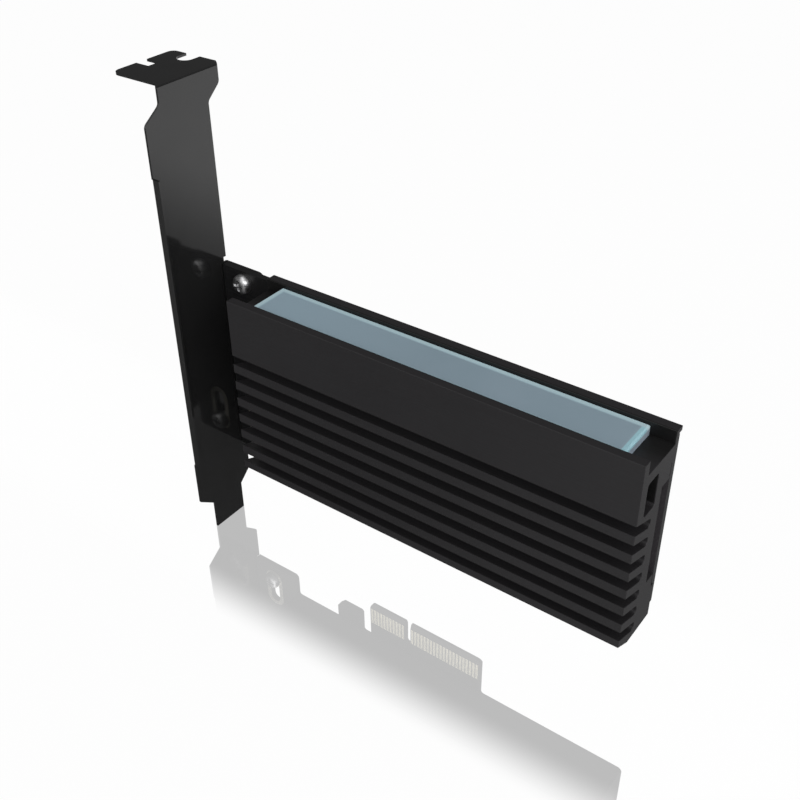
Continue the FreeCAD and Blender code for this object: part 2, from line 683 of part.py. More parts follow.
def make_bracket_screws():
    """The two screws that hold the board to the bracket's ears."""
    seat = "(-board_thick / 2 - pad_thick)"
    return gather("bracket_screws", [
        make_screw("bracket_screw_" + place, MOUNT, up, seat, True, "mount_head",
                   "mount_crown", "(mount_shank - thread_gap)", "mount_length")
        for place, up in (("high", "mount_high"), ("low", "mount_low"))])


def make_clamp_screws():
    """The four screws that hold the heatsink, put in from the solder side."""
    items = []
    for end, across in (("left", CLAMP_LEFT), ("right", CLAMP_RIGHT)):
        for place, up in (("high", "clamp_high"), ("low", "clamp_low")):
            items.append(make_screw("clamp_screw_%s_%s" % (end, place), across, up, BACK, False,
                                    "clamp_head", "clamp_crown", "(clamp_shank - thread_gap)",
                                    "clamp_length"))
    return gather("clamp_screws", items)


def make_heatsink():
    """The extruded heatsink: light channel, hollow chamber, slanted fins and drive bay."""
    body = new_body("heatsink")
    bay = "(-board_thick / 2 - bay_deep)"
    lip = "(-board_thick / 2 + lip_reach)"
    lip_low = "(board_top + lip_gap)"
    profile = new_sketch(body, "heatsink_profile", "YZ_Plane", SINK_LEFT)
    outline(profile, [
        (SINK_FRONT, "sink_bottom + sink_slope_high"),
        (SINK_FRONT + " + sink_slope_deep", "sink_bottom"),
        (FRONT, "sink_bottom"),
        (FRONT, "bay_middle - bay_high / 2 - rebate_high"),
        (FRONT + " - rebate_deep", "bay_middle - bay_high / 2 - rebate_high"),
        (FRONT + " - rebate_deep", "bay_middle - bay_high / 2"),
        (bay, "bay_middle - bay_high / 2"),
        (bay, "bay_middle + bay_high / 2"),
        (FRONT + " - rebate_deep", "bay_middle + bay_high / 2"),
        (FRONT + " - rebate_deep", "bay_middle + bay_high / 2 + rebate_high"),
        (FRONT, "bay_middle + bay_high / 2 + rebate_high"),
        (FRONT, lip_low),
        (lip, lip_low),
        (lip, lip_low + " + lip_thick"),
        (BACK_WALL_IN, lip_low + " + lip_thick"),
        (BACK_WALL_IN, "channel_floor"),
        (FRONT_WALL_IN, "channel_floor"),
        (FRONT_WALL_IN, "sink_top"),
        (SINK_FRONT, "sink_top"),
    ])
    chamber = SINK_FRONT + " + chamber_wall"
    rectangle(profile, chamber, "chamber_low",
              chamber + " + chamber_deep", "chamber_low + chamber_high")
    pad(body, profile, SINK_LENGTH)

    inner = SINK_FRONT + " + groove_deep"
    groove = new_sketch(body, "heatsink_groove", "YZ_Plane", SINK_LEFT)
    outline(groove, [
        (SINK_FRONT, "groove_top - groove_high"),
        (inner, "groove_top - groove_drop - groove_high"),
        (inner, "groove_top - groove_drop"),
        (SINK_FRONT, "groove_top"),
    ])
    cut = pocket(body, groove, SINK_LENGTH, reverse=True)
    repeat(body, cut, "Z_Axis", "groove_pitch", "groove_count", reverse=True)
    ends = [(inner, "groove_top - groove_drop%s - %d * groove_pitch" % (low, item))
            for item in range(round(number("groove_count")))
            for low in ("", " - groove_high")]
    round_corners(body, 0, ends, "groove_round")
    round_corners(body, 0, [(chamber + across, "chamber_low" + up)
                            for across in ("", " + chamber_deep")
                            for up in ("", " + chamber_high")], "chamber_round")

    holes = new_sketch(body, "heatsink_threads", "XZ_Plane", "board_thick / 2")
    for across in (CLAMP_LEFT, CLAMP_RIGHT):
        for up in ("clamp_high", "clamp_low"):
            ring(holes, across, up, "clamp_shank")
    pocket(body, holes, "clamp_length - board_thick + clamp_spare", reverse=True)
    return body


def make_light_bar():
    """The frosted bar that glows, bevelled above and hollowed below for its LEDs."""
    body = new_body("light_bar")
    sketch = new_sketch(body, "light_bar_outline", "XY_Plane", "channel_floor")
    rectangle(sketch, BAR_LEFT, FRONT_WALL_IN + " + bar_gap", BAR_RIGHT,
              BACK_WALL_IN + " - bar_gap")
    pad(body, sketch, "bar_thick")
    level = number("channel_floor + bar_thick")
    dress(body, "Chamfer", lambda edge: lies_at(edge, 2, level), "Size", "bar_bevel")
    hollow = new_sketch(body, "light_bar_hollow", "XY_Plane", "channel_floor")
    rectangle(hollow, STRIP_LEFT + " - strip_gap", BAR_MIDDLE + " - strip_wide / 2 - strip_gap",
              STRIP_RIGHT + " + strip_gap", BAR_MIDDLE + " + strip_wide / 2 + strip_gap")
    pocket(body, hollow, "strip_thick + led_high + strip_gap", reverse=True)
    return body


def make_led_strip():
    """The strip board under the light bar, and its LEDs."""
    strip = block("led_strip",
                  (STRIP_LEFT, BAR_MIDDLE + " - strip_wide / 2", "channel_floor"),
                  ("%s - %s" % (STRIP_RIGHT, STRIP_LEFT), "strip_wide", "strip_thick"))
    middle = "((%s + %s) / 2)" % (STRIP_LEFT, STRIP_RIGHT)
    count = math.floor(number("(%s - %s - led_size) / led_pitch" % (STRIP_RIGHT, STRIP_LEFT))) + 1
    leds = [block("led_%d" % item,
                  (middle + " + led_pitch * %g - led_size / 2" % (item - (count - 1) / 2),
                   BAR_MIDDLE + " - led_size / 2", "channel_floor + strip_thick"),
                  ("led_size", "led_size", "led_high"))
            for item in range(count)]
    return [strip, gather("leds", leds)]


def make_socket():
    """The drive socket's housing with its mouth and key rib."""
    body = new_body("drive_socket")
    low = "(bay_middle - socket_wide / 2)"
    high = "(bay_middle + socket_wide / 2)"
    base = new_sketch(body, "drive_socket_base", "XZ_Plane", "board_thick / 2")
    rectangle(base, SOCKET, low, SOCKET + " + socket_length", high)
    pad(body, base, "socket_high")
    mouth = new_sketch(body, "drive_socket_mouth", "YZ_Plane", SOCKET + " + socket_length")
    mouth_front = "(-board_thick / 2 - mouth_raise - mouth_high)"
    mouth_back = "(-board_thick / 2 - mouth_raise)"
    rib = "(bay_middle + rib_shift)"
    rectangle(mouth, mouth_front, low + " + mouth_end", mouth_back, rib + " - rib_wide / 2")
    rectangle(mouth, mouth_front, rib + " + rib_wide / 2", mouth_back, high + " - mouth_end")
    pocket(body, mouth, "mouth_deep")
    return body


def make_socket_tails():
    """The solder tails along both long sides of the drive socket."""
    items = []
    for side, across, count in (("rear", SOCKET + " - tail_long", REAR_TAILS),
                                ("mouth", SOCKET + " + socket_length", MOUTH_TAILS)):
        for item in range(count):
            up = "bay_middle + tail_pitch * %g - tail_wide / 2" % (item - (count - 1) / 2)
            items.append(block("tail_%s_%d" % (side, item),
                               (across, "-board_thick / 2 - tail_high", up),
                               ("tail_long", "tail_high", "tail_wide")))
    return gather("socket_tails", items)


def make_standoff():
    """The stand-off that carries the drive's far end."""
    body = new_body("drive_standoff")
    seat = "board_thick / 2 + pad_thick"
    collar = new_sketch(body, "drive_standoff_collar", "XZ_Plane", seat)
    ring(collar, DRIVE_END, "bay_middle", "post_radius")
    ring(collar, DRIVE_END, "bay_middle", "post_hole")
    pad(body, collar, "post_high - pad_thick")
    stem = new_sketch(body, "drive_standoff_stem", "XZ_Plane", seat)
    ring(stem, DRIVE_END, "bay_middle", "post_stem")
    ring(stem, DRIVE_END, "bay_middle", "post_hole")
    pad(body, stem, "board_thick + pad_thick", reverse=True)
    return body


def make_drive_screw():
    """The screw kept in the stand-off until a drive is fitted."""
    return make_screw("drive_screw", DRIVE_END, "bay_middle", "(-board_thick / 2 - post_high)",
                      True, "drive_head", "drive_crown", "(post_hole - thread_gap)",
                      "drive_shank")


def make_light_connector():
    """The right angle three pin header for the lighting cable, with one place left out."""
    first = PLUG + " - %d * pin_pitch / 2" % PIN_PLACES
    base = block("light_header", (first, BACK, "plug_raise"),
                 ("%d * pin_pitch" % PIN_PLACES, "base_deep", "base_high"))
    pins = []
    for place in PINS:
        across = "%s + %d * pin_pitch + pin_pitch / 2 - pin_side / 2" % (first, place)
        pins.append(block("pin_%d" % place,
                          (across, BACK + " + base_deep / 2 - pin_side / 2",
                           "plug_raise + base_high"),
                          ("pin_side", "pin_side", "pin_long")))
    return [base, gather("header_pins", pins)]


def make_power_parts():
    """The regulator, its leads, the inductor and the capacitors beside the bracket."""
    coil = block("inductor",
                 (POWER + " - coil_side / 2", BACK, "coil_z - coil_side / 2"),
                 ("coil_side", "coil_high", "coil_side"))
    chip = block("regulator",
                 (POWER + " - chip_long / 2", BACK, "chip_z - chip_wide / 2"),
                 ("chip_long", "chip_high", "chip_wide"))
    leads = []
    for side, up in (("low", "chip_z - chip_wide / 2 - lead_long"),
                     ("high", "chip_z + chip_wide / 2")):
        for item in range(LEADS_A_SIDE):
            step = item - (LEADS_A_SIDE - 1) / 2
            leads.append(block("lead_%s_%d" % (side, item),
                               (POWER + " + %g * lead_pitch - lead_wide / 2" % step, BACK, up),
                               ("lead_wide", "chip_high / 2", "lead_long")))
    cans = [block("can_%d" % item,
                  (POWER + " + %g * can_pitch - can_wide / 2"
                   % (item - (POWER_CAPACITORS - 1) / 2),
                   BACK, "chip_z + can_shift - can_long / 2"),
                  ("can_wide", "can_high", "can_long"))
            for item in range(POWER_CAPACITORS)]
    return [coil, chip, gather("regulator_leads", leads), gather("power_capacitors", cans)]


def make_small_parts():
    """The coupling capacitors and chip resistors on the solder side."""
    caps = [block("cap_%d" % item,
                  ("key_to_pad + cap_pitch * %d - cap_wide / 2" % item, BACK,
                   "board_bottom + cap_raise - cap_long / 2"),
                  ("cap_wide", "cap_high", "cap_long"))
            for item in range(COUPLING_CAPACITORS)]
    resistors = [block("resistor_%d" % item,
                       (SOCKET + " + chip_rest_pitch * %d" % item, BACK, "chip_rest_z"),
                       ("cap_long", "cap_high", "cap_wide"))
                 for item in range(RESISTORS)]
    return [gather("coupling_capacitors", caps), gather("resistors", resistors)]


def main():
    """Build every node, check it and write its STEP file."""
    nodes = [make_board(), make_bracket(), make_mount_lands(), make_drive_lands()]
    nodes.append(make_contacts("contacts_front", FRONT, " - pad_thick"))
    nodes.append(make_contacts("contacts_back", BACK, ""))
    nodes += [make_bracket_screws(), make_heatsink(), make_clamp_screws(), make_light_bar()]
    nodes += make_led_strip()
    nodes += [make_socket(), make_socket_tails(), make_standoff(), make_drive_screw()]
    nodes += make_light_connector()
    nodes += make_power_parts()
    nodes += make_small_parts()
    doc.recompute()
    for item in doc.Objects:
        if "Invalid" in item.State or "Error" in item.State:
            raise ValueError("broken object: " + item.Label)
    os.makedirs("parts", exist_ok=True)
    for node in nodes:
        if node.Shape.isNull() or not node.Shape.isValid():
            raise ValueError("broken shape: " + node.Label)
        node.Shape.exportStep("parts/%s.step" % node.Label)


main()
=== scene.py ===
"""Looks of the NVMe adapter card: its finishes, its fine detail, the studio and the camera.

The part's own frame is used throughout: X along the board, Y to the solder side, Z up. Finishes
and the studio are in metres. The mesh helpers work in millimetres, and add_piece scales them.
"""

import math

import bmesh
import bpy
from mathutils import Matrix, Vector


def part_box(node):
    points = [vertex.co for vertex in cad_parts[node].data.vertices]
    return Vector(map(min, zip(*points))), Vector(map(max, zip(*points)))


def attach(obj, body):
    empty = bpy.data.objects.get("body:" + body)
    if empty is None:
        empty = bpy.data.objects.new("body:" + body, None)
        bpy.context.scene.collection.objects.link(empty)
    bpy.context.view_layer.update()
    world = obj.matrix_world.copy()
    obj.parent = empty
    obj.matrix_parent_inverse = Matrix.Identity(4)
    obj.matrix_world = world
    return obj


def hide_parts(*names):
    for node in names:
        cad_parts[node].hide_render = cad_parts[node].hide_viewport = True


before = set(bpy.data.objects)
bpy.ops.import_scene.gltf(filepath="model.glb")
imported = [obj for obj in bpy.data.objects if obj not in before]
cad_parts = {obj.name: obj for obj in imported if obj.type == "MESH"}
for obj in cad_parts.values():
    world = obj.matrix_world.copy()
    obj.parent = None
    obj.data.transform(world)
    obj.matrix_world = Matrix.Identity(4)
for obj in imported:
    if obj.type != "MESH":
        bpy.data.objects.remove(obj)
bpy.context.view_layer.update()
MM = 0.001

LOW = {name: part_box(name)[0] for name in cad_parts}
HIGH = {name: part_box(name)[1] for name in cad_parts}
BOARD_FRONT = LOW["board"].y
BOARD_BACK = HIGH["board"].y
FLOOR = LOW["bracket"].z

# Fine detail of the solder side, in mm
TRACE_RISE = 0.022      # a trace stands this far above the board
INK_RISE = 0.012        # and a printed line this far
SUNK = -0.004           # flat rings reach this far into the board
TRACE_WIDE = 0.2
CAP_HALF_WIDE = 0.25    # half the width of a coupling capacitor
CAP_PITCH = 2.0
CAP_COUNT = 8
LANE_PITCH = 1.9        # spacing of the vias where the lanes end
LANE_FIRST = 28.8       # height of the first of them
LANE_END = -24.6        # and their place along the board


# ---------------------------------------------------------------- material helpers

class Nodes:
    """A node tree with short ways to add its nodes."""

    def __init__(self, tree):
        self.tree = tree

    def node(self, kind, **settings):
        item = self.tree.nodes.new(kind)
        for key, value in settings.items():
            setattr(item, key, value)
        return item

    def put(self, value, socket):
        """Set a socket to a number or a colour, or link it to another node's output."""
        if isinstance(value, (int, float)):
            socket.default_value = value
        elif isinstance(value, tuple):
            socket.default_value = (*value, 1)
        else:
            self.tree.links.new(value, socket)

    def math(self, operation, one, two=None):
        item = self.node("ShaderNodeMath", operation=operation)
        for socket, value in zip(item.inputs, (one, two)):
            if value is not None:
                self.put(value, socket)
        return item.outputs[0]

    def product(self, *factors):
        total = factors[0]
        for factor in factors[1:]:
            total = self.math("MULTIPLY", total, factor)
        return total

    def between(self, value, low, high):
        """One where the value lies between two bounds, and nought elsewhere."""
        return self.product(self.math("GREATER_THAN", value, low),
                            self.math("LESS_THAN", value, high))

    def split(self, vector):
        parts = self.node("ShaderNodeSeparateXYZ")
        self.put(vector, parts.inputs[0])
        return parts.outputs

    def spread(self, fac, low, high, start=0.3, end=0.7, curve="LINEAR"):
        """Map a value from start and end to low and high. Noise lies mostly in 0.3 to 0.7."""
        item = self.node("ShaderNodeMapRange", interpolation_type=curve)
        for value, name in ((fac, "Value"), (start, "From Min"), (end, "From Max"),
                            (low, "To Min"), (high, "To Max")):
            self.put(value, item.inputs[name])
        return item.outputs[0]

    def blend(self, fac, one, two):
        """Mix two numbers."""
        item = self.node("ShaderNodeMix")
        for value, socket in ((fac, 0), (one, 2), (two, 3)):
            self.put(value, item.inputs[socket])
        return item.outputs[0]

    def mix(self, fac, one, two):
        """Mix two colours."""
        item = self.node("ShaderNodeMix", data_type="RGBA")
        for value, socket in ((fac, 0), (one, 6), (two, 7)):
            self.put(value, item.inputs[socket])
        return item.outputs[2]

    def layer(self, fac, one, two):
        """Mix two shaders."""
        item = self.node("ShaderNodeMixShader")
        for value, socket in ((fac, 0), (one, 1), (two, 2)):
            self.put(value, item.inputs[socket])
        return item.outputs[0]

    def emitter(self, strength):
        item = self.node("ShaderNodeEmission")
        self.put(strength, item.inputs["Strength"])
        return item.outputs[0]


class Finish(Nodes):
    """A material built round one shader."""

    def __init__(self, name, rough=0.5, metal=0.0, specular=0.5):
        self.material = bpy.data.materials.new(name)
        self.material.use_nodes = True
        super().__init__(self.material.node_tree)
        self.shader = self.tree.nodes["Principled BSDF"]
        self.shader.inputs["Roughness"].default_value = rough
        self.shader.inputs["Metallic"].default_value = metal
        self.shader.inputs["Specular IOR Level"].default_value = specular
        self.place = self.node("ShaderNodeTexCoord").outputs["Object"]

    def axes(self):
        return self.split(self.place)

    def noise(self, size, stretch=(1, 1, 1), detail=3.0):
        """Noise whose grain is about the given size in metres."""
        mapping = self.node("ShaderNodeMapping")
        mapping.inputs["Scale"].default_value = stretch
        self.put(self.place, mapping.inputs["Vector"])
        item = self.node("ShaderNodeTexNoise")
        item.inputs["Scale"].default_value = 1 / size
        item.inputs["Detail"].default_value = detail
        self.put(mapping.outputs[0], item.inputs["Vector"])
        return item.outputs["Fac"]

    def tones(self, size, dark, pale):
        """A colour that drifts between two tones."""
        return self.mix(self.spread(self.noise(size), 0.0, 1.0), dark, pale)

    def colour(self, value):
        self.put(value, self.shader.inputs["Base Color"])

    def roughness(self, value):
        self.put(value, self.shader.inputs["Roughness"])

    def emission(self, value):
        self.put(value, self.shader.inputs["Emission Color"])
        self.shader.inputs["Emission Strength"].default_value = 1.0

    def bump(self, height, strength, depth):
        item = self.node("ShaderNodeBump")
        item.inputs["Strength"].default_value = strength
        item.inputs["Distance"].default_value = depth
        self.put(height, item.inputs["Height"])
        self.put(item.outputs[0], self.shader.inputs["Normal"])


def dress(finish, *nodes):
    """Give CAD nodes a finish."""
    for name in nodes:
        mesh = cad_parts[name].data
        mesh.materials.clear()
        mesh.materials.append(finish.material)


# ---------------------------------------------------------------- finishes

def anodised():
    """Black anodised extrusion: fine bead-blast grain and faint lines along its length.

    The light channel's back and the chamber carry painted shade: a near-black colour and no glow.
    A faint constant glow elsewhere is painted light, standing for the light that bounces between
    the fins.
    """
    finish = Finish("black_anodised", rough=0.5, specular=0.45)
    sink_low, sink_high = LOW["heatsink"], HIGH["heatsink"]
    bar_low, bar_high = LOW["light_bar"], HIGH["light_bar"]
    chamber_floor, chamber_back = 46.6 * MM, -2.5 * MM
    grain = finish.noise(0.12 * MM, detail=2)
    lines = finish.noise(0.25 * MM, stretch=(0.02, 1, 1), detail=2)
    x, y, z = finish.axes()
    channel = finish.product(finish.math("GREATER_THAN", z, bar_low.z - 0.2 * MM),
                             finish.spread(y, 0.0, 1.0, -10.5 * MM, -6.0 * MM),
                             finish.math("LESS_THAN", y, bar_high.y + 0.5 * MM))
    chamber = finish.product(
        finish.between(x, sink_low.x + 0.2 * MM, sink_high.x - 0.2 * MM),
        finish.between(y, sink_low.y + 1.0 * MM, chamber_back),
        finish.between(z, chamber_floor, bar_low.z - 0.3 * MM))
    # painted shade: deep marks the light channel, fading in towards its back wall, and the
    # chamber, which are painted near-black
    deep = finish.math("MAXIMUM", channel, chamber)
    open_face = finish.tones(20 * MM, (0.0076, 0.0068, 0.0080), (0.0096, 0.0088, 0.0100))
    finish.colour(finish.mix(deep, open_face, (0.0016, 0.0014, 0.0014)))
    finish.roughness(finish.spread(lines, 0.44, 0.58))
    finish.bump(finish.math("ADD", grain, lines), 0.12, 0.02 * MM)
    # painted light: a faint constant glow everywhere outside the painted shade
    finish.emission(finish.mix(deep, (0.0042, 0.0040, 0.0042), (0.0, 0.0, 0.0)))
    return finish


def gloss_black():
    """Smooth black lacquer on the bracket's sheet."""
    finish = Finish("gloss_black", rough=0.1, specular=0.62)
    finish.colour(finish.tones(9 * MM, (0.0120, 0.0120, 0.0121), (0.0142, 0.0142, 0.0144)))
    finish.roughness(finish.spread(finish.noise(4 * MM), 0.085, 0.115))
    finish.bump(finish.noise(0.9 * MM, detail=1), 0.06, 0.02 * MM)
    return finish


def solder_mask():
    """Black solder mask with the faint relief of traces, and painted light: paler on its front
    face in the bay's open end.
    """
    finish = Finish("solder_mask", rough=0.4, specular=0.35)
    trace_pitch = 1.2 * MM
    x, y, z = finish.axes()
    rows = finish.math("SINE", finish.math("MULTIPLY", z, 2 * math.pi / trace_pitch))
    patch = finish.spread(finish.noise(9 * MM, stretch=(1, 1, 0.45), detail=0), 0, 1, 0.48, 0.52)
    traces = finish.product(finish.math("GREATER_THAN", rows, 0.1), patch)
    tone = finish.mix(traces, (0.0100, 0.0100, 0.0104), (0.0138, 0.0138, 0.0144))
    # painted light: the front face inside the bay's open end is painted paler, as if light falls
    # in through the open end
    bay_painted_light = finish.product(finish.math("LESS_THAN", y, BOARD_FRONT + 0.02 * MM),
                             finish.spread(x, 0.0, 1.0, 46 * MM, 56 * MM))
    finish.colour(finish.mix(bay_painted_light, tone, (0.050, 0.046, 0.050)))
    finish.roughness(finish.spread(finish.noise(1.5 * MM), 0.36, 0.46))
    finish.bump(finish.math("ADD", traces, finish.noise(0.2 * MM)), 0.25, 0.02 * MM)
    return finish


def gold(name="gold_plate", metal=0.75, dark=(0.84, 0.6, 0.27), pale=(0.92, 0.7, 0.36)):
    """Gold plating with a faint grain."""
    finish = Finish(name, rough=0.35, metal=metal)
    finish.colour(finish.tones(0.8 * MM, dark, pale))
    finish.roughness(finish.spread(finish.noise(0.3 * MM), 0.28, 0.42))
    return finish


def tin(name="tinned"):
    """Solder-tinned copper, a little uneven."""
    finish = Finish(name, rough=0.35, metal=1.0)
    finish.solder = finish.tones(0.7 * MM, (0.66, 0.62, 0.52), (0.8, 0.77, 0.68))
    finish.colour(finish.solder)
    finish.roughness(finish.spread(finish.noise(0.4 * MM), 0.25, 0.5))
    finish.bump(finish.noise(0.7 * MM), 0.3, 0.05 * MM)
    return finish


def lands():
    """Tinned land round the lower slot. The upper hole's land lies under the solder mask."""
    finish = tin("mount_land")
    middle = (LOW["mount_lands"].z + HIGH["mount_lands"].z) / 2
    bare = finish.math("LESS_THAN", finish.axes()["Z"], middle)
    finish.colour(finish.mix(bare, (0.012, 0.012, 0.0125), finish.solder))
    finish.put(bare, finish.shader.inputs["Metallic"])
    return finish


def steel():
    """Nickel-plated steel with a fine grain and rubbed patches."""
    finish = Finish("nickel_steel", rough=0.25, metal=1.0)
    finish.colour(finish.tones(0.6 * MM, (0.5, 0.5, 0.51), (0.72, 0.72, 0.72)))
    finish.roughness(finish.spread(finish.noise(0.25 * MM, detail=5), 0.28, 0.42))
    finish.bump(finish.noise(0.15 * MM), 0.15, 0.02 * MM)
    return finish


def moulded(name, dark, pale, rough=0.55):
    """Moulded plastic with a spark-eroded grain."""
    finish = Finish(name, rough=rough)
    finish.colour(finish.tones(2 * MM, dark, pale))
    finish.roughness(finish.spread(finish.noise(0.15 * MM), rough - 0.08, rough + 0.08))
    finish.bump(finish.noise(0.08 * MM), 0.2, 0.01 * MM)
    return finish


def light_plate():
    """Frosted acrylic bar: grey-blue inside, with a cyan glow along its edges that is partly LED
    edge light and partly a painted highlight on the clear rim.

    The rim is wider along the back and bracket edges, where a neutral pale glow is a painted
    highlight, and the frost is painted paler by the bracket, as painted light against the
    bracket's shade. The whole top and the sides also glow faintly as painted light.
    """
    finish = Finish("light_plate", rough=0.28, specular=0.5)
    low, high = LOW["light_bar"], HIGH["light_bar"]
    lip_high = 0.85 * MM
    x, y, z = finish.axes()
    from_left, from_right = finish.math("SUBTRACT", x, low.x), finish.math("SUBTRACT", high.x, x)
    from_front, from_back = finish.math("SUBTRACT", y, low.y), finish.math("SUBTRACT", high.y, y)
    edge = finish.math("MINIMUM", finish.math("MINIMUM", from_left, from_right),
                       finish.math("MINIMUM", from_front, from_back))
    rim = finish.spread(edge, 1.0, 0.0, 0.95 * MM, 1.15 * MM)
    halo = finish.spread(edge, 1.0, 0.0, 0.95 * MM, 1.6 * MM)
    far = finish.math("MINIMUM", from_left, from_back)
    far_rim_highlight = finish.spread(far, 1.0, 0.0, 1.1 * MM, 1.7 * MM)
    top = finish.math("GREATER_THAN", z, high.z - lip_high)
    lip = finish.product(finish.math("MAXIMUM", rim, far_rim_highlight), top)
    # painted light: the frost is paler by the bracket to make up for the bracket's shade
    bracket_side_painted_light = finish.spread(x, 1.0, 0.0, low.x + 8 * MM, low.x + 45 * MM)
    frost = finish.tones(14 * MM, (0.226, 0.300, 0.348), (0.250, 0.322, 0.374))
    frost = finish.mix(bracket_side_painted_light, frost, (0.275, 0.370, 0.430))
    body = finish.mix(lip, finish.mix(halo, frost, (0.27, 0.345, 0.395)), (0.28, 0.41, 0.45))
    finish.colour(finish.mix(top, (0.27, 0.32, 0.375), body))
    # partly LED edge light and partly painted highlight: the rim glows cyan, the back and bracket
    # rim glows neutral pale, and the rest glows faintly
    glow = finish.mix(lip, (0.030, 0.042, 0.052), (0.060, 0.140, 0.165))
    glow = finish.mix(finish.product(far_rim_highlight, top), glow, (0.140, 0.168, 0.180))
    finish.emission(finish.mix(top, (0.018, 0.024, 0.030), glow))
    finish.bump(finish.noise(0.12 * MM), 0.08, 0.01 * MM)
    return finish


# ---------------------------------------------------------------- studio

def floor_material():
    """Pale glossy floor.

    To the view it is white, with a mirror that fades away from the object. To the object's own
    gloss it is a painted glow: painted shade close by the object, standing in for the object's
    shadow on the floor, brighter to the front and the free end, and white far back.
    """
    finish = Finish("floor")
    finish.tree.nodes.remove(finish.shader)
    rays = finish.node("ShaderNodeLightPath").outputs
    x, y = finish.axes()[:2]

    pale = finish.node("ShaderNodeBsdfDiffuse")
    pale.inputs["Color"].default_value = (0.85, 0.85, 0.85, 1)
    shadow_share, mirror_share = 0.03, 0.5
    white = finish.layer(shadow_share, finish.emitter(1.0), pale.outputs[0])
    mirror = finish.node("ShaderNodeBsdfGlossy")
    mirror.inputs["Roughness"].default_value = 0.0
    mirror.inputs["Color"].default_value = (1, 1, 1, 1)
    fade = finish.spread(finish.math("ABSOLUTE", y), mirror_share, 0.0, 23.5 * MM, 37.0 * MM,
                         "SMOOTHSTEP")
    seen = finish.layer(fade, white, mirror.outputs[0])

    # painted shade: for gloss rays the floor glows dim by the object, standing in for its shadow,
    # brighter to the front and the free end, and white far back
    near = finish.spread(x, 0.115, 0.30, -25 * MM, 50 * MM)
    front = finish.spread(y, 1.9, 1.0, -110 * MM, -20 * MM)
    glow = finish.spread(y, finish.product(near, front), 1.0, 86 * MM, 168 * MM, "SMOOTHSTEP")
    lit_and_painted_glow = finish.layer(rays["Is Glossy Ray"], pale.outputs[0], finish.emitter(glow))

    direct = finish.math("MAXIMUM", rays["Is Camera Ray"], rays["Is Transmission Ray"])
    finish.put(finish.layer(direct, lit_and_painted_glow, seen),
               finish.tree.nodes["Material Output"].inputs["Surface"])
    return finish.material


def make_floor():
    """A wide pale floor under the bracket's toe."""
    mesh = bpy.data.meshes.new("floor")
    form = bmesh.new()
    bmesh.ops.create_circle(form, cap_ends=True, segments=96, radius=3.0)
    bmesh.ops.translate(form, verts=form.verts, vec=(0, 0, FLOOR))
    form.to_mesh(mesh)
    form.free()
    floor = bpy.data.objects.new("floor", mesh)
    bpy.context.scene.collection.objects.link(floor)
    mesh.materials.append(floor_material())


def make_world():
    """White to the view and to sharp mirrors. Gloss and fill vary with the direction."""
    world = bpy.data.worlds.new("studio")
    bpy.context.scene.world = world
    world.use_nodes = True
    sky = Nodes(world.node_tree)
    sky.tree.nodes.clear()
    rays = sky.node("ShaderNodeLightPath").outputs
    x, y, z = sky.split(sky.node("ShaderNodeTexCoord").outputs["Generated"])
    white = sky.math("MAXIMUM", rays["Is Camera Ray"], rays["Is Transmission Ray"])
    white = sky.math("MAXIMUM", white, rays["Is Singular Ray"])
    overhead = sky.spread(z, 0.08, 0.15, 0.35, 0.62, "SMOOTHSTEP")
    gloss = sky.spread(y, 0.85, overhead, -0.45, 0.25, "SMOOTHSTEP")
    fill = sky.spread(x, 0.12, 0.5, -1.0, 1.0)
    background = sky.node("ShaderNodeBackground")
    background.inputs["Color"].default_value = (1, 1, 1, 1)
    sky.put(sky.blend(white, sky.blend(rays["Is Glossy Ray"], fill, gloss), 1.0),
            background.inputs["Strength"])
    sky.put(background.outputs[0], sky.node("ShaderNodeOutputWorld").inputs["Surface"])


def make_lamp(name, place, size, power):
    """A soft box aimed at the middle of the card."""
    lamp = bpy.data.lights.new(name, "AREA")
    lamp.shape = "SQUARE"
    lamp.size = size
    lamp.energy = power
    item = bpy.data.objects.new(name, lamp)
    item.location = place
    aim = Vector((0.005, -0.008, 0.04)) - Vector(place)
    item.rotation_euler = aim.to_track_quat("-Z", "Y").to_euler()
    item.visible_camera = False
    bpy.context.scene.collection.objects.link(item)


def make_camera():
    """The camera looks down at the card from its free end, turned a little about its axis."""
    camera = bpy.data.objects.new("camera", bpy.data.cameras.new("camera"))
    place = Vector((116.7, -161.6, 180.7)) * MM
    target = Vector((3.685, -8.016, 46.465)) * MM
    roll_degrees = -0.604
    turn = (target - place).to_track_quat("-Z", "Y").to_matrix()
    roll = Matrix.Rotation(math.radians(roll_degrees), 3, "Z")
    camera.matrix_world = Matrix.Translation(place) @ (turn @ roll).to_4x4()
    camera.data.sensor_width = 36.0
    camera.data.lens = 49.16
    camera.data.clip_start = 0.01
    bpy.context.scene.collection.objects.link(camera)
    bpy.context.scene.camera = camera


def make_studio():
    """Floor, world, three soft boxes, camera and plain colours."""
    make_floor()
    make_world()
    make_lamp("key", place=(0.6, -0.1, 0.3), size=0.5, power=1.3)
    make_lamp("top", place=(0.0, -0.1, 0.8), size=0.6, power=1.1)
    make_lamp("front", place=(0.4, -0.45, 0.3), size=0.5, power=1.3)
    make_camera()
    bpy.context.scene.view_settings.view_transform = "Standard"


# ---------------------------------------------------------------- mesh helpers, in mm

